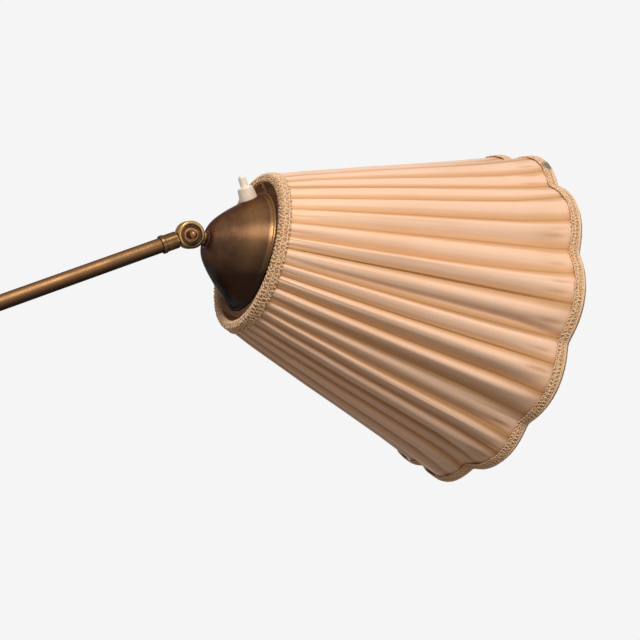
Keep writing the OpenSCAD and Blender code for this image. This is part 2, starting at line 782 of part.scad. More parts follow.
module switch_plunger() {
    r = plunger_d / 2;
    tip = switch_collar_h + plunger_out;
    low = -dome_wall - 1.6 - 8 + plunger_travel + 0.5;
    color("ivory") in_switch() rotate_extrude() polygon(concat(
        [[0, low], [r, low]],
        [for (i = [0:arc_steps]) let (a = 90 * i / arc_steps)
            [r * cos(a), tip - r * 0.8 + r * 0.8 * sin(a)]]
    ));
}

// ---- Shade ----

// A straight wire from p to q
module wire(p, q, d) {
    v = q - p;
    translate(p) rotate([0, acos(v[2] / norm(v)), atan2(v[1], v[0])]) cylinder(d = d, h = norm(v), $fn = 24);
}

// The flat ring on the lampholder with three bent arms that carry the top ring
module shade_carrier() {
    arm_z = carrier_z + carrier_t / 2;
    bend = [dome_d / 2 + bead_d + 2.5, dome_rim_z + bead_d + wire_r + 3];
    weld_r = top_ring_r - wire_r * 0.6;
    weld_z = top_ring_z + wire_r * 0.9;
    color("lightgray") in_head() {
        translate([0, 0, carrier_z]) ring(carrier_r, holder_r + seat_gap, carrier_t);
        for (k = [0:2]) rotate([0, 0, carrier_turn + 120 * k]) {
            wire([carrier_r - 1.3, 0, arm_z], [bend[0], 0, bend[1]], wire_d);
            translate([bend[0], 0, bend[1]]) sphere(d = wire_d + 0.1, $fn = 24);
            wire([bend[0], 0, bend[1]], [weld_r, 0, weld_z], wire_d);
        }
    }
}

module shade_top_ring() {
    color("lightgray") in_head() translate([0, 0, top_ring_z]) rotate_extrude() translate([top_ring_r, 0])
        circle(d = wire_d, $fn = 24);
}

// A strut runs from the top ring to each notch of the scalloped edge
module shade_struts() {
    low_r = notch_r - edge_wire_r + cloth_over_wire - cloth_t - soft_gap - strut_d / 2;
    color("lightgray") in_head() for (k = [0:lobes - 1]) rotate([0, 0, notch_angle + k * lobe_angle])
        wire([top_ring_r, 0, top_ring_z + wire_r * 0.6],
            [low_r, 0, edge_wire_z - edge_wire_r * 0.4], strut_d);
}

module shade_bottom_ring() {
    sides = 6;
    steps = lobes * edge_steps;
    color("wheat") in_head() closed_band([for (i = [0:steps - 1]) let (a = notch_angle + 360 * i / steps)
        [for (j = [0:sides - 1]) let (b = 360 * j / sides)
            polar(edge_r(a) + edge_wire_r * cos(b), a, edge_wire_z + edge_wire_r * sin(b))]]);
}

// The gathered cloth between the rings, with its main folds
module shade_cloth() {
    rows = len(fold_rise);
    color("peachpuff") in_head() closed_band([for (i = [0:cloth_cols - 1])
        let (a = notch_angle + 360 * i / cloth_cols, f = fold_shape[i % len(fold_shape)])
        concat(
            [for (k = [0:rows - 1]) let (v = k / (rows - 1))
                polar(cloth_r(a, v) + fold_rise[k] * f, a, cloth_z(v))],
            [for (k = [rows - 1:-1:0]) let (v = k / (rows - 1))
                polar(cloth_r(a, v) + fold_rise[k] * f - cloth_t, a, cloth_z(v))]
        )]);
}

// The upper braid folds over the top ring and lies on the cloth
module top_braid() {
    slope = (notch_r + scallop_rise / 2 - cloth_top_r) / (cloth_end_z - cloth_top_z);
    inner = cloth_top_r + fold_rise[0] + soft_gap;
    outer = inner + braid_t;
    back = top_ring_r - wire_r - soft_gap;
    low = top_braid_w - 1;
    color("navajowhite") in_head() translate([0, 0, shade_top_z]) rotate_extrude() polygon(concat(
        [[back, wire_r + braid_t], [back - braid_t, wire_r + braid_t]],
        arc(back - braid_t + 1, 1, 1, 180, 270),
        arc(outer - 1, 1, 1, -90, 0),
        [[outer + slope * low, low], [inner + slope * low + 0.2, low], [inner, braid_t], [back, braid_t]]
    ));
}

// The lower braid lies on the cloth just above the scalloped edge
module bottom_braid() {
    steps = lobes * edge_steps;
    v0 = 1 - bottom_braid_w / (cloth_end_z - cloth_top_z);
    lift = fold_rise[2] + 2 * soft_gap;
    color("navajowhite") in_head() closed_band([for (i = [0:steps - 1]) let (a = notch_angle + 360 * i / steps) [
        polar(cloth_r(a, v0) + lift, a, cloth_z(v0)),
        polar(cloth_r(a, v0) + lift + braid_t, a, cloth_z(v0)),
        polar(cloth_r(a, 1) + lift + braid_t, a, cloth_z(1)),
        polar(cloth_r(a, 1) + lift, a, cloth_z(1))
    ]]);
}

base_felt();
base_weight();
base_cover();
base_washer();
base_nut();
cord_bushing();
foot_bush();
stem_collar();
stem_tube();
swivel_spindle();
swivel_washer();
stem_knuckle();
swivel_screw();
lower_arm_knuckle();
arm_tube();
upper_arm_knuckle();
knuckle_washers();
knuckle_screws();
knuckle_nuts();
head_knuckle();
neck_washer();
dome();
dome_nut();
holder_cap();
holder_sleeve();
holder_insert();
holder_contact();
holder_rings();
bulb_cap();
bulb_glass();
switch_body();
switch_collar();
switch_plunger();
shade_carrier();
shade_top_ring();
shade_struts();
shade_bottom_ring();
shade_cloth();
top_braid();
bottom_braid();
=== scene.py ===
"""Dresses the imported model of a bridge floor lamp.

It makes the pleated shade, its braids, the metal finishes and the stage.

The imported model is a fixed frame. Lengths in the head's own frame are in millimetres, as are values
whose names end in _mm. All others are in metres, as Blender has them. The head's own frame has its
origin at the upper pivot, Z along the lampholder, X down and Y across, as in the model's source.
"""

import json
import math

import bmesh
import bpy
import numpy as np
from bpy.props import FloatProperty, FloatVectorProperty, IntProperty, PointerProperty
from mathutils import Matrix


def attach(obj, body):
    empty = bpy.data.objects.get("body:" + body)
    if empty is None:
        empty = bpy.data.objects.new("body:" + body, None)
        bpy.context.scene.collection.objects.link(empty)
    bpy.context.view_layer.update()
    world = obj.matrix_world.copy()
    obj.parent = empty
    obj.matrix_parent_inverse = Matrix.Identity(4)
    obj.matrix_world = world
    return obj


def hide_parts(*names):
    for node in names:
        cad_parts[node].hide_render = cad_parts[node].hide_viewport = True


bl_info = {
    "name": "Bridge floor lamp finish",
    "version": (1, 0, 0),
    "blender": (4, 5, 0),
    "location": "View3D > Sidebar > Lamp",
    "description": "Makes the shade, braids, finishes and stage of a bridge floor lamp",
    "category": "Object",
}

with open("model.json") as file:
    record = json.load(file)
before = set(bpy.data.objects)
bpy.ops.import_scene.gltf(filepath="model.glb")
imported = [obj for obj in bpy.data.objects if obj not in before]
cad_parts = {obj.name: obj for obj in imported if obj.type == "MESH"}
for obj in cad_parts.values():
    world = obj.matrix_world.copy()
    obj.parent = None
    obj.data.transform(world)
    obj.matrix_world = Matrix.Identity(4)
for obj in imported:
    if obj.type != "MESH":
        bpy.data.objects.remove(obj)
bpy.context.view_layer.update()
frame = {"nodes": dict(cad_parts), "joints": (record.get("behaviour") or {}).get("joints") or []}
JOINTS = {joint["name"]: joint for joint in frame["joints"]}

MM = 0.001

# The head: where it pivots and how it points at rest
HEAD_PIVOT = np.array(JOINTS["head_tilt"]["pos_m"])
HEAD_PITCH = math.radians(14.2)
HEAD_AXES = np.array(
    [
        [-math.sin(HEAD_PITCH), 0, -math.cos(HEAD_PITCH)],
        [0, 1, 0],
        [math.cos(HEAD_PITCH), 0, -math.sin(HEAD_PITCH)],
    ]
)
HEAD_TURN = (0, math.pi / 2 + HEAD_PITCH, 0)
ARM_PIVOT = np.array(JOINTS["arm_tilt"]["pos_m"])
ARM_WAY = HEAD_PIVOT - ARM_PIVOT
ARM_TURN = (0, math.atan2(ARM_WAY[0], ARM_WAY[2]), 0)

# The shade in the head's frame, in millimetres, as the model's source has it
LOBES = 12
NOTCH_ANGLE = 7.5
NOTCH_R = 142.7
SCALLOP_RISE = 9.7
EDGE_WIRE_R = 1.5
EDGE_WIRE_Z = 278.8
CLOTH_TOP_R = 64.5
CLOTH_TOP_Z = 50.5
CLOTH_END_Z = 277.0
CLOTH_OVER_WIRE = 1.3
STRUT_TOP_R = 63.4
STRUT_END_R = NOTCH_R - 0.7
BRAID_TOP_Z = 49.3

# The folds: the seed of their widths, and from the top ring at 0 to the mouth at 1 their depth as a
# share of the usual depth, and how far out their crests stand in millimetres
FOLD_SEED = 1572
FOLD_SWELL = ([0, 0.03, 0.1, 0.25, 0.8, 0.92, 0.96, 1], [0.5, 0.7, 0.95, 1, 0.95, 0.5, 0.12, 0.06])
FOLD_CREST = ([0, 0.03, 0.12, 0.4, 0.6, 0.8, 0.95, 1], [0.3, 0.8, 1.7, 1.6, 0.6, 0, 0.3, 0.5])

# The cloth's height and its mean way round, in metres, for its UV map
CLOTH_SLANT_M = 0.24
CLOTH_ROUND_M = 0.75

# Angles round the head's axis, in degrees: the deepest folds, the worn spot and the water mark
DEEPEST_ANGLE = 322
SPOT_ANGLE = 208
MARK_ANGLE = 244.5

# The photograph's camera, in metres, degrees and millimetres
CAMERA_PLACE = (0.14074, -0.78875, 1.21892)
CAMERA_HEADING = -25.23
CAMERA_DROP = 2.28
CAMERA_LENS = 57.36
CAMERA_SENSOR = 36.0


# ---- Shapes ----


def from_head(points):
    """Points of the head's frame in millimetres as points of the model's frame in metres."""
    return HEAD_PIVOT + (np.asarray(points) * MM) @ HEAD_AXES


def unit(rows):
    """Rows of vectors at length one."""
    return rows / np.linalg.norm(rows, axis=-1, keepdims=True)


def scallop(angle):
    """How far the edge swells at an angle in degrees, 0 at a notch and 1 in the middle of a scallop.

    It is the parabola 4u(1 - u) between two notches, and the root of its square plus a little
    rounds the notches as tape on a wire does.
    """
    u = np.mod((angle - NOTCH_ANGLE) * LOBES / 360, 1)
    return np.hypot(4 * u * (1 - u), 0.2)


def wire_radius(angle):
    """Radius of the scalloped wire's middle at an angle in degrees, in millimetres."""
    return NOTCH_R + SCALLOP_RISE * scallop(angle) - EDGE_WIRE_R


def round_axis(radius, angle, z):
    """Points at a radius and an angle in degrees round the head's axis."""
    turn = np.radians(angle)
    return np.stack(np.broadcast_arrays(radius * np.cos(turn), radius * np.sin(turn), z), axis=-1)


def soiled_spot():
    """Where the scalloped edge's tape is worn through and its braid is grey."""
    radius = wire_radius(SPOT_ANGLE) + 1.0
    return tuple(from_head(round_axis(radius, SPOT_ANGLE, EDGE_WIRE_Z - 1.5)))


def loop_directions(points):
    """Unit tangents of closed loops of points: the way from the point before to the point after."""
    return unit(np.roll(points, -1, axis=0) - np.roll(points, 1, axis=0))


def closed_surface(name, grid, uv_name, u_length, v_length, fields=None):
    """A mesh of a grid of points that closes on itself in both directions, as a ring's surface does.

    Each square of four neighbours is a face. The UV map holds real metres along the grid's rows
    and columns. The faces are turned over if the volume that they enclose comes out negative.
    """
    rows, columns = grid.shape[:2]
    index = np.arange(rows * columns).reshape(rows, columns)
    down, right = np.roll(index, -1, axis=0), np.roll(index, -1, axis=1)
    faces = np.stack([index, right, np.roll(down, -1, axis=1), down], axis=-1).reshape(-1, 4)
    step_u, step_v = u_length / columns, v_length / rows
    place = np.stack(np.divmod(np.arange(rows * columns), columns), axis=-1).astype(float)
    corner = np.array([[0, 0], [0, 1], [1, 1], [1, 0]])
    uv = (place[:, None, :] + corner)[:, :, ::-1] * (step_u, step_v)
    points = grid.reshape(-1, 3)
    middle = points.mean(axis=0)
    a, b, c, d = (points[faces[:, k]] - middle for k in range(4))
    volume = np.einsum("ij,ij->", a, np.cross(b, c)) + np.einsum("ij,ij->", a, np.cross(c, d))
    if volume < 0:
        faces, uv = faces[:, ::-1], uv[:, ::-1]
    mesh = bpy.data.meshes.new(name)
    mesh.from_pydata(points.tolist(), [], faces.tolist())
    layer = mesh.uv_layers.new(name=uv_name)
    layer.data.foreach_set("uv", uv.astype(np.float32).ravel())
    for field, values in (fields or {}).items():
        attribute = mesh.attributes.new(field, "FLOAT", "POINT")
        attribute.data.foreach_set("value", np.asarray(values, np.float32).ravel())
    mesh.polygons.foreach_set("use_smooth", np.ones(len(faces), bool))
    mesh.update()
    piece = bpy.data.objects.new(name, mesh)
    bpy.context.scene.collection.objects.link(piece)
    return piece


def cord_along(name, path, outward, wide, high, sides):
    """A cord along a closed path: an ellipse round each point.

    It is wide across the path and high outwards.
    """
    along = loop_directions(path)
    across = unit(np.cross(along, outward))
    out = np.cross(across, along)
    turn = np.linspace(0, 2 * np.pi, sides, endpoint=False)[:, None, None]
    grid = path + wide * np.cos(turn) * across + high * np.sin(turn) * out
    length = np.linalg.norm(np.roll(path, -1, axis=0) - path, axis=1).sum()
    return closed_surface(name, grid, "cord", length, np.pi * (wide + high))


def join_pieces(name, pieces):
    """Joins pieces into the first, which takes the name."""
    with bpy.context.temp_override(
        active_object=pieces[0],
        object=pieces[0],
        selected_editable_objects=pieces,
        selected_objects=pieces,
    ):
        bpy.ops.object.join()
    pieces[0].name = pieces[0].data.name = name
    return pieces[0]


def smooth_copy(node, body, finish, sharp_angle=28.0):
    """A CAD node with its triangles merged and its edges flatter than the angle shaded smooth."""
    mesh = frame["nodes"][node].data.copy()
    merged = bmesh.new()
    merged.from_mesh(mesh)
    bmesh.ops.remove_doubles(merged, verts=merged.verts, dist=2e-6)
    merged.to_mesh(mesh)
    merged.free()
    if "custom_normal" in mesh.attributes:
        mesh.attributes.remove(mesh.attributes["custom_normal"])
    mesh.polygons.foreach_set("use_smooth", np.ones(len(mesh.polygons), bool))
    mesh.set_sharp_from_angle(angle=math.radians(sharp_angle))
    mesh.materials.clear()
    mesh.materials.append(finish)
    piece = bpy.data.objects.new(node + "_smooth", mesh)
    bpy.context.scene.collection.objects.link(piece)
    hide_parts(node)
    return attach(piece, body)


def dress(node, finish):
    """Gives a CAD node that stays as it is its finish."""
    frame["nodes"][node].material_slots[0].material = finish


# ---- Materials ----


def paint(colour):
    """An sRGB hex colour as the linear colour with alpha that a shader's socket takes."""
    parts = [int(colour[k : k + 2], 16) / 255 for k in (1, 3, 5)]
    return tuple(c / 12.92 if c <= 0.04045 else ((c + 0.055) / 1.055) ** 2.4 for c in parts) + (1.0,)


def add(tree, kind, inputs=None, **settings):
    """Adds a shader node. Settings are its properties; inputs are values, or outputs to link."""
    node = tree.nodes.new(kind)
    for key, value in settings.items():
        setattr(node, key, value)
    for key, value in (inputs or {}).items():
        if isinstance(value, bpy.types.NodeSocket):
            tree.links.new(value, node.inputs[key])
        else:
            node.inputs[key].default_value = value
    return node


def opaque(colour):
    """A colour of the settings with the alpha that a shader's socket takes."""
    return (*colour, 1.0)


def maths(tree, operation, a, b=0.0):
    """What a Math node gives."""
    return add(tree, "ShaderNodeMath", {0: a, 1: b}, operation=operation).outputs[0]


def vectors(tree, operation, a, b=(0.0, 0.0, 0.0)):
    """What a Vector Math node gives: a value for a length, a distance or a dot product."""
    result = "Value" if operation in ("LENGTH", "DISTANCE", "DOT_PRODUCT") else "Vector"
    return add(tree, "ShaderNodeVectorMath", {0: a, 1: b}, operation=operation).outputs[result]


def new_finish(name, **uniform):
    """A new material with a Principled shader. Uniform values are set on the shader's own sockets."""
    finish = bpy.data.materials.new(name)
    finish.use_nodes = True
    tree = finish.node_tree
    tree.nodes.clear()
    inputs = {key.replace("_", " "): value for key, value in uniform.items()}
    shader = add(tree, "ShaderNodeBsdfPrincipled", inputs)
    add(tree, "ShaderNodeOutputMaterial", {"Surface": shader.outputs[0]})
    return finish, tree, shader, add(tree, "ShaderNodeTexCoord").outputs["Object"]


def noise(tree, place, size_mm, detail=2.0, rough=0.5):
    """Noise whose blotches are about size_mm across, as a value near 0.5."""
    inputs = {"Vector": place, "Scale": 1 / (size_mm * MM), "Detail": detail, "Roughness": rough}
    return add(tree, "ShaderNodeTexNoise", inputs).outputs[0]


def spread(tree, value, low, high, to_low=0.0, to_high=1.0):
    """A value mapped from low..high to to_low..to_high, and held there."""
    inputs = {"From Min": low, "From Max": high, "To Min": to_low, "To Max": to_high}
    return add(tree, "ShaderNodeMapRange", {"Value": value, **inputs}).outputs[0]


def blend(tree, share, a, b):
    """Colour a where share is 0 and b where it is 1."""
    inputs = {0: share, 6: a, 7: b}
    return add(tree, "ShaderNodeMix", inputs, data_type="RGBA").outputs[2]


def relief(tree, shader, height, depth_mm, strength=1.0, under=None):
    """Bump of a real depth, and on top of another if one is given."""
    inputs = {"Height": height, "Distance": depth_mm * MM, "Strength": strength}
    if under is not None:
        inputs["Normal"] = under
    bump = add(tree, "ShaderNodeBump", inputs).outputs[0]
    tree.links.new(bump, shader.inputs["Normal"])
    return bump


def set_inputs(tree, shader, **links):
    """Links outputs to the shader's sockets."""
    for key, value in links.items():
        tree.links.new(value, shader.inputs[key.replace("_", " ")])


def brushing(tree, place, centre, turn, lay):
    """The coordinates of a surface that was brushed round its axis, or drawn along it.

    It gives the place in the axis's own frame, the distance out from the axis, the distance along
    it, the place that streaks are drawn at and their direction. Streaks are long because the place
    that they are drawn at hardly changes along them.
    """
    inputs = {"Vector": place, "Location": tuple(centre), "Rotation": turn}
    own = add(tree, "ShaderNodeMapping", inputs, vector_type="TEXTURE").outputs[0]
    parts = add(tree, "ShaderNodeSeparateXYZ", {0: own}).outputs
    flat = add(tree, "ShaderNodeCombineXYZ", {0: parts[0], 1: parts[1], 2: 0.0}).outputs[0]
    reach = vectors(tree, "LENGTH", flat)
    if lay == "round":
        slow = maths(tree, "MULTIPLY", parts[0], 0.03)
        inputs = {0: reach, 1: slow, 2: parts[2]}
        lines_at = add(tree, "ShaderNodeCombineXYZ", inputs).outputs[0]
        way = vectors(tree, "CROSS_PRODUCT", own, (0.0, 0.0, 1.0))
    else:
        lines_at = vectors(tree, "MULTIPLY", own, (1.0, 1.0, 0.012))
        way = add(tree, "ShaderNodeCombineXYZ", {2: 1.0}).outputs[0]
    inputs = {"Vector": way, "Rotation": turn}
    way = add(tree, "ShaderNodeMapping", inputs, vector_type="VECTOR").outputs[0]
    to_world = {"vector_type": "VECTOR", "convert_from": "OBJECT", "convert_to": "WORLD"}
    way = add(tree, "ShaderNodeVectorTransform", {0: way}, **to_world).outputs[0]
    return own, reach, parts[2], lines_at, way


def aged_brass(
    name, centre, turn, lay, settings, cloud_mm, rings=(), painted_low_shade=None, brushed=0.65, gloss=0.0
):
    """Brass that was brushed round its axis, or drawn along it, and has darkened with age.

    The brushing shows as fine streaks of light and dark and draws each highlight out across them;
    the age shows as brown clouds and small spots. The brown skin is oxide, so the metal shows less
    where it is thick. Streaks are 0.8 mm apart, coarser than the real ones, so that they show in
    the render. rings are bands (which, from, to, soft, colour, share), in millimetres along the axis
    or out from it, of another colour: painted highlights on rims, beads and balls, painted shade in
    recesses, and a lighter tone over tubes and sleeves. The argument after rings is (from, to, share,
    down): how far down from the centre, in millimetres, painted shade darkens the under side.
    """
    finish, tree, shader, place = new_finish(
        name, Specular_Tint=paint("#8c8074"), Anisotropic=brushed, Anisotropic_Rotation=0.25
    )
    own, reach, along, lines_at, way = brushing(tree, place, centre, turn, lay)
    lines = noise(tree, lines_at, 0.8, detail=3)
    broad_lines = noise(tree, lines_at, 3.5, detail=2)
    clouds = noise(tree, own, cloud_mm, detail=6, rough=0.6)
    mottle = noise(tree, lines_at if lay == "along" else own, 7, detail=5, rough=0.65)
    spots = noise(tree, own, 1.6, detail=3)
    bright, dark = opaque(settings.bright), opaque(settings.dark)
    colour = blend(tree, spread(tree, clouds, 0.34, 0.7, 0, 0.8), bright, dark)
    colour = blend(tree, spread(tree, lines, 0.35, 0.7, 0, 0.35), colour, dark)
    colour = blend(tree, spread(tree, mottle, 0.42, 0.62, 0, 0.5), colour, dark)
    colour = blend(tree, spread(tree, broad_lines, 0.4, 0.7, 0, 0.3), colour, dark)
    colour = blend(tree, spread(tree, spots, 0.66, 0.72, 0, 0.4), colour, paint("#2a1c12"))
    # Bands of another colour: painted highlights, painted shade in recesses, or a lighter tone
    for which, low, high, soft, tint, share in rings:
        across = reach if which == "out" else along
        up = spread(tree, across, low * MM, (low + soft) * MM)
        down = spread(tree, across, (high - soft) * MM, high * MM, share, 0)
        colour = blend(tree, maths(tree, "MULTIPLY", up, down), colour, tint)
    # Painted shade: the colour darkens towards the under side, below the centre
    if painted_low_shade:
        start, end, share, down = painted_low_shade
        below = vectors(tree, "DOT_PRODUCT", vectors(tree, "SUBTRACT", place, tuple(centre)), down)
        under = spread(tree, below, start * MM, end * MM, 0, share)
        colour = blend(tree, under, colour, paint("#241812"))
    rough = settings.roughness - gloss
    roughness = spread(tree, clouds, 0.3, 0.7, rough - 0.04, rough + 0.1)
    metal = spread(tree, clouds, 0.4, 0.72, 0.92, 0.65)
    set_inputs(tree, shader, Base_Color=colour, Roughness=roughness, Metallic=metal, Tangent=way)
    first = relief(tree, shader, lines, 0.02, 0.5)
    relief(tree, shader, broad_lines, 0.04, 0.35, first)
    return finish


def turned_metal(name, colour, shade, roughness, grain_mm=0.4):
    """Bare metal from the lathe or the press, a little dull, with small cloudy stains."""
    finish, tree, shader, place = new_finish(name, Metallic=1.0)
    clouds = noise(tree, place, 9, detail=5)
    grain = noise(tree, place, grain_mm, detail=2)
    set_inputs(
        tree,
        shader,
        Base_Color=blend(tree, spread(tree, clouds, 0.35, 0.7), paint(colour), paint(shade)),
        Roughness=spread(tree, clouds, 0.3, 0.7, roughness, roughness + 0.15),
    )
    relief(tree, shader, grain, 0.015, 0.4)
    return finish


def moulded(name, colour, shade, roughness, mottle_mm=6.0, grain_mm=0.5, depth_mm=0.01, **uniform):
    """A moulded, glazed or painted surface, with faint clouds in its colour and a fine grain."""
    finish, tree, shader, place = new_finish(name, **uniform)
    clouds = noise(tree, place, mottle_mm, detail=4)
    set_inputs(
        tree,
        shader,
        Base_Color=blend(tree, spread(tree, clouds, 0.35, 0.68), paint(colour), paint(shade)),
        Roughness=spread(tree, clouds, 0.3, 0.7, roughness, roughness + 0.1),
    )
    relief(tree, shader, noise(tree, place, grain_mm, detail=3), depth_mm, 0.6)
    return finish


def satin(settings):
    """Viscose satin: long floats of shiny thread along the folds.

    It gives a broad soft shine across the folds, cream with a peach cast on the crests and a
    deeper gold painted in the hollows and on the inner side, as painted shade where the light has met
    the cloth twice. A thin dark line of painted shade lies where two folds meet. Threads are drawn
    0.6 mm apart, coarser than the real ones. A faint brown water mark lies near the mouth.
    """
    finish, tree, shader, place = new_finish(
        "viscose_satin",
        Specular_IOR_Level=0.7,
        Specular_Tint=paint("#ffd6a8"),
        Anisotropic=0.6,
    )
    uv = add(tree, "ShaderNodeUVMap", uv_map="cloth").outputs[0]
    crested = add(tree, "ShaderNodeAttribute", attribute_name="crest").outputs["Fac"]
    threads_at = vectors(tree, "MULTIPLY", uv, (1, 0.03, 1))
    threads = noise(tree, threads_at, 0.6, detail=3)
    slubs = noise(tree, threads_at, 2.4, detail=2)
    tone = noise(tree, uv, 60, detail=4)
    hollow = opaque(settings.hollow)
    # Painted shade: the hollow colour where the crest field is low, and a thin darker line where it
    # is lowest
    colour = blend(tree, spread(tree, crested, 0.0, 0.7), hollow, opaque(settings.crest))
    colour = blend(tree, spread(tree, crested, 0.0, 0.035, 0.5, 0), colour, paint("#9c6a40"))
    colour = blend(tree, spread(tree, tone, 0.5, 0.8, 0, 0.25), colour, hollow)
    colour = blend(tree, spread(tree, slubs, 0.6, 0.8, 0, 0.2), colour, hollow)
    mark_z = CLOTH_TOP_Z + 0.88 * (CLOTH_END_Z - CLOTH_TOP_Z)
    mark = tuple(from_head(round_axis(147.0, MARK_ANGLE, mark_z)))
    from_mark = vectors(tree, "MULTIPLY", vectors(tree, "SUBTRACT", place, mark), (0.35, 0.35, 1.0))
    stained = spread(tree, vectors(tree, "LENGTH", from_mark), 0.001, 0.006, 0.4, 0)
    colour = blend(tree, stained, colour, paint("#9a6a38"))
    roughness = spread(tree, threads, 0.3, 0.7, 0.34, 0.46)
    tangent = add(tree, "ShaderNodeTangent", direction_type="UV_MAP", uv_map="cloth").outputs[0]
    set_inputs(tree, shader, Base_Color=colour, Roughness=roughness, Tangent=tangent)
    first = relief(tree, shader, threads, 0.03, 0.3)
    relief(tree, shader, slubs, 0.06, 0.3, first)
    return finish


def gimp(name, light, dark, twist_mm):
    """Cotton cord wound with shiny viscose thread: slanting bands of light and shade, with fluff.

    The braid is grey and soiled in one spot of the scalloped edge.
    """
    finish, tree, shader, place = new_finish(name, Specular_Tint=paint("#ffe8d4"))
    uv = add(tree, "ShaderNodeUVMap", uv_map="cord").outputs[0]
    parts = add(tree, "ShaderNodeSeparateXYZ", {0: uv}).outputs
    slant = maths(tree, "ADD", parts[0], parts[1])
    turns = maths(tree, "MULTIPLY", slant, 2 * math.pi / (twist_mm * MM))
    wound = spread(tree, maths(tree, "SINE", turns), -1, 1)
    wear_and_painted_light = noise(tree, place, 14, detail=4)
    fluff = noise(tree, place, 0.5, detail=3)
    colour = blend(tree, spread(tree, wound, 0.1, 0.7), paint(dark), paint(light))
    colour = blend(tree, spread(tree, wear_and_painted_light, 0.5, 0.8, 0, 0.4), colour, paint(dark))
    soiled = spread(tree, vectors(tree, "DISTANCE", place, soiled_spot()), 0.005, 0.0085, 0.9, 0)
    grime_and_painted_shade = blend(tree, spread(tree, fluff, 0.4, 0.6), paint("#4c4a48"), paint("#9a958e"))
    colour = blend(tree, soiled, colour, grime_and_painted_shade)
    roughness = spread(tree, fluff, 0.3, 0.7, 0.38, 0.6)
    set_inputs(tree, shader, Base_Color=colour, Roughness=roughness)
    first = relief(tree, shader, wound, 0.16, 0.8)
    relief(tree, shader, fluff, 0.08, 0.5, first)
    return finish


def wrapped_tape():
    """Cotton tape wound on wire, browned by handling, and worn through to grey wire in one place."""
    finish, tree, shader, place = new_finish("cotton_tape", Sheen_Weight=0.15)
    dirt = noise(tree, place, 9, detail=5)
    weave = noise(tree, place, 0.6, detail=3)
    colour = blend(tree, spread(tree, dirt, 0.35, 0.65), paint("#c2976b"), paint("#86643f"))
    worn = spread(tree, vectors(tree, "DISTANCE", place, soiled_spot()), 0.006, 0.010, 1, 0)
    colour = blend(tree, worn, colour, paint("#7d7a76"))
    roughness = spread(tree, weave, 0.3, 0.7, 0.6, 0.85)
    set_inputs(tree, shader, Base_Color=colour, Roughness=roughness)
    relief(tree, shader, weave, 0.12, 0.6)
    return finish


def frosted_glass():
    """Soda-lime glass etched inside, so that it is white and blurs what is behind it."""
    finish, tree, shader, place = new_finish(
        "frosted_glass", Base_Color=paint("#f4f1ea"), Transmission_Weight=0.8, IOR=1.45
    )
    grain = noise(tree, place, 0.8, detail=3)
    set_inputs(tree, shader, Roughness=spread(tree, grain, 0.3, 0.7, 0.35, 0.5))
    relief(tree, shader, grain, 0.02, 0.3)
    return finish


# ---- Settings ----


def colour_setting(name, description, default):
    """A colour in a settings group, from an sRGB hex colour."""
    return FloatVectorProperty(
        name=name, description=description, subtype="COLOR", default=paint(default)[:3]
    )


class ShadeSettings(bpy.types.PropertyGroup):
    """The cloth of the shade."""

    folds: IntProperty(
        name="Folds", description="Number of gathers round the top ring", default=38, min=24
    )
    rise: FloatProperty(
        name="Fold depth",
        description="Usual depth of a fold as a share of its width",
        default=0.22,
        min=0,
        max=0.4,
    )
    thickness: FloatProperty(
        name="Cloth", description="Thickness of the cloth", default=0.5 * MM, unit="LENGTH"
    )
    crest: colour_setting("Crest", "Colour of the folds' crests", "#fdd0ae")
    # The hollow colour is painted shade between the folds and on the inner side; it also gives the
    # cloth's random darker tone
    hollow: colour_setting("Hollow", "Colour between the folds", "#dba06c")


class BrassSettings(bpy.types.PropertyGroup):
    """The aged brass of the metalwork."""

    bright: colour_setting("Bright", "Colour where the brass is rubbed", "#865c3e")
    dark: colour_setting("Dark", "Colour where the brass has darkened", "#4c382b")
    # The colour of the painted highlights on rims, beads and balls
    rubbed: colour_setting("Rubbed", "Colour of rims that stay bright", "#a67c50")
    roughness: FloatProperty(
        name="Roughness", description="Roughness of the brass", default=0.36, min=0, max=1
    )


class StageSettings(bpy.types.PropertyGroup):
    """The floor, the light and the picture."""

    pale: colour_setting("Background", "Colour of floor and background", "#f5f5f5")
    key_power: FloatProperty(
        name="Key light", description="Power of the large lamp overhead", default=25.5, min=0
    )
    sky: FloatProperty(
        name="Sky", description="Strength of the light from all round", default=0.23, min=0
    )


# ---- Pieces ----


class LAMP_OT_cloth(bpy.types.Operator):
    """Makes the gathered satin cover of the shade."""

    bl_idname = "lamp.cloth"
    bl_label = "Satin cover"

    def execute(self, context):
        settings = context.scene.lamp_shade
        piece = gathered_cover(settings)
        piece.data.materials.append(satin(settings))
        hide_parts("shade_cloth")
        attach(piece, "head")
        return {"FINISHED"}


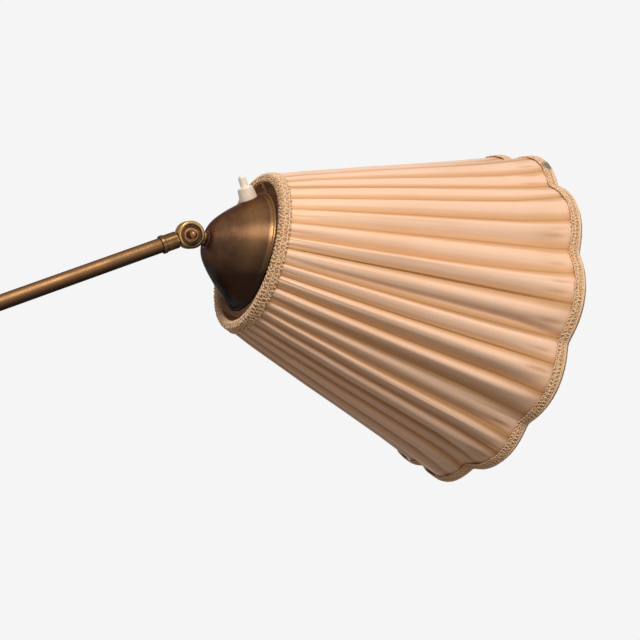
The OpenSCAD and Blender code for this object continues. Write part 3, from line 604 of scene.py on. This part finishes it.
def gathered_cover(settings):
    """The satin between the top ring and the scalloped wire, as one closed thin sheet.

    The mesh's columns follow the folds. A fold's two edges are at uneven distances round the top
    and round the mouth, and nearly straight between them. Across a fold the height goes up to the
    crest in about a third of the width and comes down in the rest, since gathers all lean one way:
    each part is q - k sin(2 pi q) / 2 pi, a straight slope with rounded ends. The depth is a share of
    the fold's width, differs from edge to edge, and for some edges fades out on the way down, so that
    two folds flow into one. Folds are deepest low on the side that the camera sees. Fine creases run
    along the crests, and narrow tucks start at both ends. The cloth bridges the gaps between the
    wires, and lies over a wire wherever it would cut through it.
    """
    folds, per_fold, rows = settings.folds, 26, 46
    chance = np.random.default_rng(FOLD_SEED)
    fold = np.repeat(np.arange(folds), per_fold)[None, :]
    t = np.tile(np.arange(per_fold) / per_fold, folds)[None, :]
    v = np.linspace(0, 1, rows)[:, None]
    v = 0.35 * v + 0.65 * (1 - np.cos(np.pi * v)) / 2

    top_width = np.exp(chance.uniform(-0.22, 0.22, folds))
    end_width = top_width**0.4 * np.exp(chance.uniform(-0.2, 0.2, folds))
    edge = [np.concatenate([[0], np.cumsum(w)]) / w.sum() * 360 for w in (top_width, end_width)]
    edge[1] = edge[1] - np.mean(edge[1] - edge[0])
    wander = chance.uniform(-0.7, 0.7, folds)
    wander = np.append(wander, wander[0])
    bow = np.sin(np.pi * v)
    first = edge[0][fold] * (1 - v) + edge[1][fold] * v + wander[fold] * bow
    after = fold + 1
    last = edge[0][after] * (1 - v) + edge[1][after] * v + wander[after] * bow
    angle = first + t * (last - first)
    straight = (1 - v) * CLOTH_TOP_R + v * (wire_radius(angle) + CLOTH_OVER_WIRE)
    width = np.radians(last - first) * ((1 - v) * CLOTH_TOP_R + v * NOTCH_R)

    crest_at = chance.uniform(0.3, 0.46, folds)[fold]
    crest_at = crest_at + np.interp(v, [0, 0.3, 0.9], [-0.1, -0.08, 0.04])
    q = np.where(t < crest_at, t / crest_at, (1 - t) / (1 - crest_at))
    height = q - 0.75 * np.sin(2 * np.pi * q) / (2 * np.pi)

    middle = (np.arange(folds) + 0.5) / folds * 2 * np.pi
    deeper = 1 + 0.42 * np.cos(middle - np.radians(DEEPEST_ANGLE))
    deep = chance.uniform(0.65, 1.25, folds) * deeper
    reach = np.where(chance.uniform(0, 1, folds) < 0.15, chance.uniform(0.5, 0.9, folds), 2.0)
    swell = np.interp(v, *FOLD_SWELL)
    depth = [deep[k] * swell / (1 + (v / reach[k]) ** 6) for k in (fold, after % folds)]
    share = np.clip((t - 0.3) / 0.4, 0, 1)
    share = share * share * (3 - 2 * share)
    rise = settings.rise * width * ((1 - share) * depth[0] + share * depth[1])
    valley = rise * (1 - height)

    crease = 0
    for wide, long, sizes in (
        (0.14, 0.25, (-0.9, 0.9)),
        (0.05, 0.3, (-0.45, 0.1)),
        (0.05, 0.2, (-0.45, 0.1)),
    ):
        limits = ((0.12, 0.75), (0, 1), sizes)
        at, down, size = (chance.uniform(low, high, folds)[fold] for low, high in limits)
        crease = crease + size * np.exp(-(((t - at) / wide) ** 2) - ((v - down) / long) ** 2)
    tucks = 0
    at_ends = 0.8 * np.exp(-((v / 0.12) ** 2)) + 1.3 * np.exp(-(((0.92 - v) / 0.045) ** 2))
    starts = ((0.15, 0.45, 1.0), (0.55, 0.85, 0.7))
    for at, size in [(chance.uniform(low, high, folds), size) for low, high, size in starts]:
        tuck = size * chance.uniform(0, 1, folds)[fold] * np.exp(-(((t - at[fold]) / 0.08) ** 2))
        tucks = tucks + tuck * at_ends
    radius = straight + np.interp(v, *FOLD_CREST) - valley + crease - tucks
    between = 360 / LOBES
    off_wire = np.mod(angle - NOTCH_ANGLE + between / 2, between) - between / 2
    off_wire = np.radians(off_wire) * straight
    over_wire = (1 - v) * STRUT_TOP_R + v * STRUT_END_R + 0.9 - 0.035 * off_wire**2
    gap = radius - over_wire
    radius = over_wire + 0.5 * (gap + np.sqrt(gap**2 + 1.2))

    outer = round_axis(radius, angle, CLOTH_TOP_Z + v * (CLOTH_END_Z - CLOTH_TOP_Z))
    along_row = np.roll(outer, -1, axis=1) - np.roll(outer, 1, axis=1)
    normal = unit(np.cross(along_row, np.gradient(outer, axis=0)))
    inward = np.einsum("ijk,ijk->", normal, outer * (1, 1, 0)) < 0
    normal = -normal if inward else normal
    inner = outer - settings.thickness / MM * normal
    grid = from_head(np.concatenate([outer, inner[::-1]]))
    # Painted shade: the crest field is lower where folds are low and where tucks fold in, and 0 on
    # the inner side
    shade = np.clip(height * 1.25, 0, 1) * np.clip(1 - tucks, 0.3, 1)
    fields = {"crest": np.concatenate([shade, 0 * shade])}
    return closed_surface("satin_cover", grid, "cloth", CLOTH_ROUND_M, 2 * CLOTH_SLANT_M, fields)


class LAMP_OT_braids(bpy.types.Operator):
    bl_idname = "lamp.braids"
    bl_label = "Braids"

    def execute(self, context):
        light = gimp("gimp_cord", "#ffe6c2", "#f4ba84", twist_mm=0.9)
        ground = gimp("gimp_ground", "#dca268", "#b07440", twist_mm=0.7)
        pieces = [upper_braid(light, ground), lower_braid(light, ground)]
        for piece, node in zip(pieces, ("top_braid", "bottom_braid")):
            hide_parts(node)
            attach(piece, "head")
        return {"FINISHED"}


def looped_cords(place, loops, rows, thick_mm, finish, steps=11, sides=6):
    """Cords that run in loops beside each other, as in gimp.

    Each row is (middle, swing, forward, phase). Its cord goes across as the middle plus the swing
    times the sine of its turn, forward by a share of a loop times the cosine, so that it loops back
    on itself, and rises over its neighbours once in each turn. Turns and swings are a little uneven.
    place turns a share of the way round, a distance across and a height into points and outward
    directions.
    """
    cords = []
    for row, (middle, swing, forward, phase) in enumerate(rows):
        turns = loops + (5 * row) % 7 - 3
        share = np.arange(turns * steps) / (turns * steps)
        uneven = np.sin(2 * np.pi * share * 29 + 9 * phase)
        uneven = uneven + np.sin(2 * np.pi * share * 67 + 4 * row)
        turn = 2 * np.pi * (share * turns + phase) + 0.8 * uneven
        wobble = 1 + 0.25 * uneven
        path, outward = place(
            np.mod(share + forward * np.cos(turn) / turns, 1),
            middle + swing * wobble * np.sin(turn),
            thick_mm * (0.9 + 0.45 * np.sin(turn + 1.2) + 0.15 * uneven),
        )
        cords.append(cord_along("cord", path, outward, thick_mm * MM, thick_mm * MM, sides))
        cords[-1].data.materials.append(finish)
    return cords


def upper_braid(light, ground):
    """The braid that folds over the top ring: a woven ground with looped cords on it.

    Its section runs from inside the ring, over the top edge and down the cloth, and is turned
    round the head's axis. Across it, a place is the distance along that section.
    """

    def rounding(start, end):
        turn = np.radians(np.linspace(start, end, 9))
        return np.stack([np.cos(turn), np.sin(turn)], axis=1)

    section = np.concatenate(
        [
            [[59.9, BRAID_TOP_Z + 3.0]],
            (61.3, BRAID_TOP_Z + 2.1) + 1.4 * rounding(180, 270),
            (64.3, BRAID_TOP_Z + 2.3) + 1.6 * rounding(270, 340),
            [[68.3, BRAID_TOP_Z + 8.0]],
        ]
    )
    length = np.concatenate([[0], np.cumsum(np.linalg.norm(np.diff(section, axis=0), axis=1))])
    fine = np.linspace(0, length[-1], 90)
    line = np.stack([np.interp(fine, length, section[:, k]) for k in range(2)], axis=1)
    # A moving average of seven points rounds the section's corners
    padded = np.pad(line, ((3, 3), (0, 0)), mode="edge")
    line = np.stack([np.convolve(padded[:, k], np.ones(7) / 7, "valid") for k in range(2)], axis=1)
    way = unit(np.gradient(line, axis=0))
    out = np.stack([way[:, 1], -way[:, 0]], axis=1)

    def place(share, across, over):
        r, z, r_out, z_out = (np.interp(across, fine, column) for column in (*line.T, *out.T))
        angle = 360 * share
        outward = round_axis(r_out, angle, z_out) @ HEAD_AXES
        return from_head(round_axis(r + over * r_out, angle, z + over * z_out)), outward

    ring = np.concatenate([line + 0.3 * out, (line - 0.3 * out)[::-1]])
    turn = np.linspace(0, 360, 240, endpoint=False)[None, :]
    grid = from_head(round_axis(ring[:, :1], turn, ring[:, 1:] * np.ones_like(turn)))
    band = closed_surface("ground", grid, "cord", u_length=0.41, v_length=0.036)
    band.data.materials.append(ground)
    far = length[-1]
    rows = (
        (1.0, 0.8, 0.3, 0.0),
        (3.0, 1.1, 0.34, 0.33),
        (far * 0.42, 1.2, 0.3, 0.66),
        (far * 0.58, 1.2, -0.3, 0.1),
        (far - 4.6, 1.2, 0.34, 0.5),
        (far - 2.8, 1.3, -0.34, 0.0),
        (far - 1.0, 1.0, 0.36, 0.4),
    )
    cords = looped_cords(place, 118, rows, thick_mm=0.47, finish=light)
    return join_pieces("upper_braid", [band, *cords])


def lower_braid(light, ground):
    """The braid along the scalloped edge, on the cloth.

    It is a flat ground, looped cords and a plain cord along the edge. Its middle line follows the
    scalloped wire 3.7 mm up the cloth and 1.05 mm out from it. Across it, a place is measured square
    to that line and in the cloth's plane.
    """
    share = np.arange(2880) / 2880
    angle = 360 * share
    mouth = round_axis(wire_radius(angle) + CLOTH_OVER_WIRE, angle, CLOTH_END_Z)
    top = round_axis(CLOTH_TOP_R, angle, CLOTH_TOP_Z)
    along, up = loop_directions(mouth), unit(top - mouth)
    out = unit(np.cross(up, along))
    out = out * np.sign(np.einsum("ij,ij->i", out, mouth * (1, 1, 0)))[:, None]
    across = np.cross(along, out)
    across = across * np.sign(np.einsum("ij,ij->i", across, up))[:, None]
    step = np.linalg.norm(np.roll(mouth, -1, axis=0) - mouth, axis=1)
    travelled = np.concatenate([[0], np.cumsum(step)])

    def place(part, to_side, over):
        at = np.interp(part * travelled[-1], travelled, np.arange(len(share) + 1))
        low = at.astype(int) % len(share)
        mix = (at - np.floor(at))[:, None]

        def there(values):
            return values[low] * (1 - mix) + values[(low + 1) % len(share)] * mix

        over, to_side = np.reshape(over, (-1, 1)), np.reshape(to_side, (-1, 1))
        point = there(mouth) + there(across) * (3.7 + to_side) + there(out) * (1.05 + over)
        return from_head(point), there(out) @ HEAD_AXES

    part = np.arange(960) / 960
    path, outward = place(part, 0.0, 0.0)
    pieces = [cord_along("ground", path, outward, 3.2 * MM, 0.4 * MM, 10)]
    pieces[0].data.materials.append(ground)
    path, outward = place(part, -3.5, 0.1)
    pieces.append(cord_along("cord", path, outward, 1.0 * MM, 0.9 * MM, 8))
    pieces[1].data.materials.append(light)
    rows = (
        (-1.4, 0.9, 0.3, 0.0),
        (0.1, 1.1, -0.34, 0.3),
        (1.3, 1.1, 0.34, 0.6),
        (2.5, 1.1, -0.36, 0.1),
    )
    pieces += looped_cords(place, 285, rows, thick_mm=0.47, finish=light, steps=9, sides=5)
    return join_pieces("lower_braid", pieces)


class LAMP_OT_wires(bpy.types.Operator):
    """Makes the scalloped wire with its tape, and paints the shade's other wires."""

    bl_idname = "lamp.wires"
    bl_label = "Shade wires"

    def execute(self, context):
        piece = wrapped_edge()
        piece.data.materials.append(wrapped_tape())
        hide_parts("shade_bottom_ring")
        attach(piece, "head")
        skin = {"mottle_mm": 12, "grain_mm": 1.2, "depth_mm": 0.05}
        enamel = moulded("white_enamel", "#f0dcc0", "#cfae86", 0.5, **skin, Specular_IOR_Level=0.3)
        for node in ("shade_top_ring", "shade_struts", "shade_carrier"):
            smooth_copy(node, "head", enamel)
        return {"FINISHED"}


def wrapped_edge():
    """The scalloped wire wound with tape.

    A circle is carried along the wire. Its radius grows from 1.36 to 1.5 mm along each 5 mm turn of
    the tape and drops at the next, and the turns slant round the wire.
    """
    steps, sides = 1920, 12
    angle = 360 * np.arange(steps) / steps
    path = round_axis(wire_radius(angle), angle, EDGE_WIRE_Z)
    along = loop_directions(path)
    out = unit(path * (1, 1, 0))
    across = unit(np.cross(along, out))
    out = np.cross(across, along)
    length = np.linalg.norm(np.roll(path, -1, axis=0) - path, axis=1).sum()
    turn = np.linspace(0, 1, sides, endpoint=False)[:, None]
    winds = np.round(length / 5.0)
    lap = np.mod(winds * (angle / 360)[None, :] + turn, 1)
    radius = (1.36 + 0.14 * lap)[..., None]
    ring = np.cos(2 * np.pi * turn)[..., None] * across + np.sin(2 * np.pi * turn)[..., None] * out
    grid = from_head(path + radius * ring)
    return closed_surface("wrapped_edge", grid, "cord", u_length=length * MM, v_length=9.4 * MM)


class LAMP_OT_metalwork(bpy.types.Operator):
    """Gives the brass pieces, their fixings and washers their finishes."""

    bl_idname = "lamp.metalwork"
    bl_label = "Metalwork"

    def execute(self, context):
        brass = context.scene.lamp_brass
        across, upwards = (math.pi / 2, 0, 0), (0, 0, 0)
        # Colours of the painted highlights, of the painted shade in recesses, and of a lighter tone
        bright, grime_and_painted_shade, handled = opaque(brass.rubbed), paint("#2a1d14"), paint("#745632")
        # Bands round a pivot: painted highlights on the ball, the boss and the rim, painted shade in
        # the dish's groove, and a lighter tone on the sleeves
        wear_and_painted_light = (
            ("out", 0.0, 3.6, 0.5, bright, 0.5),
            ("out", 4.0, 5.4, 0.4, bright, 0.8),
            ("out", 5.6, 8.2, 0.5, grime_and_painted_shade, 0.8),
            ("out", 7.4, 12.8, 0.7, paint("#ae8658"), 1.0),
            ("out", 11.6, 70, 1.0, handled, 0.45),
        )
        # Painted highlights: a broad band near the dome's rim and a narrow one on its bead
        rim_highlights = (("along", 30, 50, 8, bright, 0.3), ("along", 48.4, 54, 1.2, bright, 0.5))
        tube = (("out", -1, 20, 0.5, handled, 0.45),)
        down = (0.0, 0.0, -1.0)
        under_arm = (math.cos(ARM_TURN[1]), 0.0, -math.sin(ARM_TURN[1]))
        # The dome gets painted highlights near its rim and painted shade that darkens its under side
        dome = aged_brass(
            "dome_brass", HEAD_PIVOT, HEAD_TURN, "round", brass, 26, rim_highlights, (0, 32, 0.95, down)
        )
        # The knuckles at the head get rings of painted highlights and painted shade, and painted
        # shade on their under side
        head = aged_brass(
            "head_brass",
            HEAD_PIVOT,
            across,
            "round",
            brass,
            9,
            wear_and_painted_light,
            (0, 8, 0.9, under_arm),
            brushed=0.3,
            gloss=0.08,
        )
        # The lower knuckles get the same rings of painted highlights and painted shade
        elbow = aged_brass(
            "elbow_brass", ARM_PIVOT, across, "round", brass, 9, wear_and_painted_light, brushed=0.3, gloss=0.1
        )
        # Painted shade along the arm's under side
        painted_low_shade = (-1, 4, 0.97, under_arm)
        arm = aged_brass(
            "arm_brass", ARM_PIVOT, ARM_TURN, "along", brass, 30, tube, painted_low_shade, gloss=0.02
        )
        upright = aged_brass("stem_brass", (0, 0, 0), upwards, "along", brass, 30, tube)
        base = aged_brass("base_brass", (0, 0, 0), upwards, "round", brass, 18)
        for node, body, slot, finish in (
            ("dome", "head", "dome_brass", dome),
            ("head_knuckle", "head", "aged_brass", head),
            ("upper_arm_knuckle", "arm", "aged_brass", head),
            ("lower_arm_knuckle", "arm", "aged_brass", elbow),
            ("knuckle_screws", "arm", "aged_brass", head),
            ("knuckle_nuts", "arm", "aged_brass", head),
            ("arm_tube", "arm", "tube_brass", arm),
            ("stem_knuckle", "swivel", "aged_brass", elbow),
            ("stem_tube", "stand", "tube_brass", upright),
            ("stem_collar", "stand", "aged_brass", base),
            ("base_cover", "stand", "base_brass", base),
        ):
            smooth_copy(node, body, finish)
        raw = turned_metal("raw_brass", "#c7a25e", "#9a7840", 0.3)
        zinc = turned_metal("zinc_plate", "#b4b3ad", "#8f8e88", 0.34, grain_mm=0.8)
        copper = turned_metal("copper_washer", "#7d5546", "#5a3a2e", 0.5)
        fibre = moulded("vulcanised_fibre", "#6b3a26", "#4a2618", 0.6, mottle_mm=3, grain_mm=0.3)
        for finish, nodes in (
            (raw, ("foot_bush", "swivel_spindle", "swivel_screw")),
            (zinc, ("base_washer", "base_nut", "dome_nut")),
            (copper, ("neck_washer",)),
            (fibre, ("swivel_washer", "knuckle_washers")),
        ):
            for node in nodes:
                dress(node, finish)
        return {"FINISHED"}


class LAMP_OT_base(bpy.types.Operator):
    """Gives the weight, the felt and the cord's bushing their finishes."""

    bl_idname = "lamp.base"
    bl_label = "Base"

    def execute(self, context):
        iron = {"mottle_mm": 14, "grain_mm": 1.5, "depth_mm": 0.3}
        felt = {"mottle_mm": 5, "grain_mm": 0.4, "depth_mm": 0.4, "Sheen_Weight": 0.5}
        nylon = {"mottle_mm": 5, "grain_mm": 0.6, "depth_mm": 0.02}
        dress("base_weight", moulded("cast_iron", "#232120", "#33302d", 0.6, **iron))
        dress("base_felt", moulded("wool_felt", "#24321f", "#1a2617", 0.95, **felt))
        dress("cord_bushing", moulded("bushing_nylon", "#191817", "#242220", 0.4, **nylon))
        return {"FINISHED"}


class LAMP_OT_lampholder(bpy.types.Operator):
    """Gives the lampholder and the bulb their finishes."""

    bl_idname = "lamp.lampholder"
    bl_label = "Lampholder and bulb"

    def execute(self, context):
        resin = moulded("phenolic_resin", "#211813", "#38281e", 0.22, mottle_mm=4, grain_mm=2)
        glaze = {"mottle_mm": 9, "grain_mm": 1.5, "depth_mm": 0.02, "Coat_Weight": 0.5}
        china = moulded("glazed_china", "#ebe6da", "#dcd3c1", 0.12, **glaze)
        for node in ("holder_cap", "holder_sleeve", "holder_rings"):
            smooth_copy(node, "head", resin)
        dress("holder_insert", china)
        dress("holder_contact", turned_metal("contact_brass", "#c7a25e", "#9a7840", 0.3))
        cap = turned_metal("bulb_aluminium", "#c9c8c4", "#a3a29d", 0.3)
        smooth_copy("bulb_cap", "head", cap, sharp_angle=60)
        smooth_copy("bulb_glass", "head", frosted_glass())
        return {"FINISHED"}


class LAMP_OT_switch(bpy.types.Operator):
    """Gives the push switch its yellowed ivory plastic."""

    bl_idname = "lamp.switch"
    bl_label = "Switch"

    def execute(self, context):
        skin = {"mottle_mm": 7, "grain_mm": 0.9, "depth_mm": 0.02, "Specular_IOR_Level": 0.9}
        ivory = moulded("ivory_urea", "#ffefd8", "#ffdfc0", 0.3, **skin)
        button = moulded("button_urea", "#fff4e4", "#ffe8d2", 0.28, **skin)
        smooth_copy("switch_body", "head", ivory)
        smooth_copy("switch_collar", "head", ivory)
        smooth_copy("switch_plunger", "button", button)
        return {"FINISHED"}


class LAMP_OT_stage(bpy.types.Operator):
    """Makes the floor, the lamps, the world and the camera."""

    bl_idname = "lamp.stage"
    bl_label = "Stage"

    def execute(self, context):
        settings = context.scene.lamp_stage
        set_camera(context.scene)
        pale_floor(settings)
        pale_world(context.scene, settings)
        key = settings.key_power
        soft_lamp("key", (0.0, -1.25, 2.62), target=(0.45, 0.0, 1.2), size=0.8, power=key)
        soft_lamp("fill", (1.2, -2.0, 1.3), target=(0.45, 0.0, 1.15), size=0.9, power=key * 0.2)
        context.scene.view_settings.view_transform = "Standard"
        return {"FINISHED"}


def set_camera(scene):
    """The photograph's camera, 0.85 m from the shade and a little above the head's pivot.

    Its place and directions were fitted to the shade's and dome's outlines.
    """
    data = bpy.data.cameras.new("camera")
    data.sensor_width = CAMERA_SENSOR
    data.lens = CAMERA_LENS
    data.clip_start = 0.02
    camera = bpy.data.objects.new("camera", data)
    scene.collection.objects.link(camera)
    camera.location = CAMERA_PLACE
    camera.rotation_euler = (math.radians(90 - CAMERA_DROP), 0, math.radians(CAMERA_HEADING))
    scene.camera = camera


def seen_rays(tree):
    """1 for the rays that show a thing, its mirror image too, and 0 for the rays that only light."""
    rays = add(tree, "ShaderNodeLightPath").outputs
    seen = maths(tree, "MAXIMUM", rays["Is Camera Ray"], rays["Is Glossy Ray"])
    return maths(tree, "MAXIMUM", seen, rays["Is Transmission Ray"])


def pale_floor(settings):
    """A round pale floor that fades into the background, so that shadows stay on it."""
    sides, radius = 96, 3.2
    turn = np.linspace(0, 2 * np.pi, sides, endpoint=False)
    rim = np.stack([radius * np.cos(turn), radius * np.sin(turn), np.zeros_like(turn)], axis=1)
    mesh = bpy.data.meshes.new("floor")
    mesh.from_pydata(rim.tolist(), [], [list(range(sides))])
    floor = bpy.data.objects.new("floor", mesh)
    bpy.context.scene.collection.objects.link(floor)
    finish = bpy.data.materials.new("pale_floor")
    finish.use_nodes = True
    tree = finish.node_tree
    tree.nodes.clear()
    pale = opaque(settings.pale)
    place = add(tree, "ShaderNodeTexCoord").outputs["Object"]
    edge = spread(tree, vectors(tree, "LENGTH", place), 1.0, 2.4)
    seen = seen_rays(tree)
    cover = add(tree, "ShaderNodeBsdfDiffuse", {"Color": blend(tree, seen, paint("#85725e"), pale)})
    glow = add(tree, "ShaderNodeEmission", {"Color": pale, "Strength": 1.0})
    share = maths(tree, "MULTIPLY", seen, 0.55)
    inputs = {0: share, 1: cover.outputs[0], 2: glow.outputs[0]}
    lit = add(tree, "ShaderNodeMixShader", inputs)
    clear = add(tree, "ShaderNodeBsdfTransparent")
    inputs = {0: edge, 1: lit.outputs[0], 2: clear.outputs[0]}
    faded = add(tree, "ShaderNodeMixShader", inputs)
    add(tree, "ShaderNodeOutputMaterial", {"Surface": faded.outputs[0]})
    mesh.materials.append(finish)


def pale_world(scene, settings):
    """A soft sky that is stronger overhead than below, and shows as the plain background."""
    world = bpy.data.worlds.new("studio")
    world.use_nodes = True
    tree = world.node_tree
    tree.nodes.clear()
    way = add(tree, "ShaderNodeTexCoord").outputs["Generated"]
    up = add(tree, "ShaderNodeSeparateXYZ", {0: way}).outputs[2]
    power = spread(tree, up, -0.7, 0.9, 0.25 * settings.sky, 1.5 * settings.sky)
    light = add(tree, "ShaderNodeBackground", {"Color": (1.0, 1.0, 1.0, 1.0), "Strength": power})
    shown = add(tree, "ShaderNodeBackground", {"Color": opaque(settings.pale), "Strength": 1.0})
    inputs = {0: seen_rays(tree), 1: light.outputs[0], 2: shown.outputs[0]}
    mixed = add(tree, "ShaderNodeMixShader", inputs)
    add(tree, "ShaderNodeOutputWorld", {"Surface": mixed.outputs[0]})
    scene.world = world


def soft_lamp(name, place, target, size, power):
    """A square lamp that points at a target."""
    data = bpy.data.lights.new(name, "AREA")
    data.shape = "SQUARE"
    data.size = size
    data.energy = power
    lamp = bpy.data.objects.new(name, data)
    bpy.context.scene.collection.objects.link(lamp)
    away = np.array(place) - np.array(target)
    tilt = math.acos(away[2] / np.linalg.norm(away))
    lamp.location = place
    lamp.rotation_euler = (tilt, 0, math.atan2(away[0], -away[1]))


class LAMP_PT_panel(bpy.types.Panel):
    """Lists the lamp's settings and steps."""

    bl_idname = "LAMP_PT_panel"
    bl_label = "Bridge floor lamp"
    bl_space_type = "VIEW_3D"
    bl_region_type = "UI"
    bl_category = "Lamp"

    def draw(self, context):
        for group in (context.scene.lamp_shade, context.scene.lamp_brass, context.scene.lamp_stage):
            box = self.layout.box()
            for key in group.bl_rna.properties.keys():
                if key not in ("rna_type", "name"):
                    box.prop(group, key)
        for step in STEPS:
            self.layout.operator(step.bl_idname)


GROUPS = {"lamp_shade": ShadeSettings, "lamp_brass": BrassSettings, "lamp_stage": StageSettings}
STEPS = (
    LAMP_OT_cloth,
    LAMP_OT_braids,
    LAMP_OT_wires,
    LAMP_OT_metalwork,
    LAMP_OT_base,
    LAMP_OT_lampholder,
    LAMP_OT_switch,
    LAMP_OT_stage,
)


def register():
    """Adds the settings, the steps and the panel."""
    for kind in (*GROUPS.values(), *STEPS, LAMP_PT_panel):
        bpy.utils.register_class(kind)
    for name, kind in GROUPS.items():
        setattr(bpy.types.Scene, name, PointerProperty(type=kind))


def unregister():
    """Takes them away again."""
    for name in GROUPS:
        delattr(bpy.types.Scene, name)
    for kind in (LAMP_PT_panel, *reversed(STEPS), *GROUPS.values()):
        bpy.utils.unregister_class(kind)


def main():
    """Registers the add-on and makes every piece."""
    register()
    for step in STEPS:
        group, name = step.bl_idname.split(".")
        getattr(getattr(bpy.ops, group), name)()


if __name__ == "__main__":
    main()
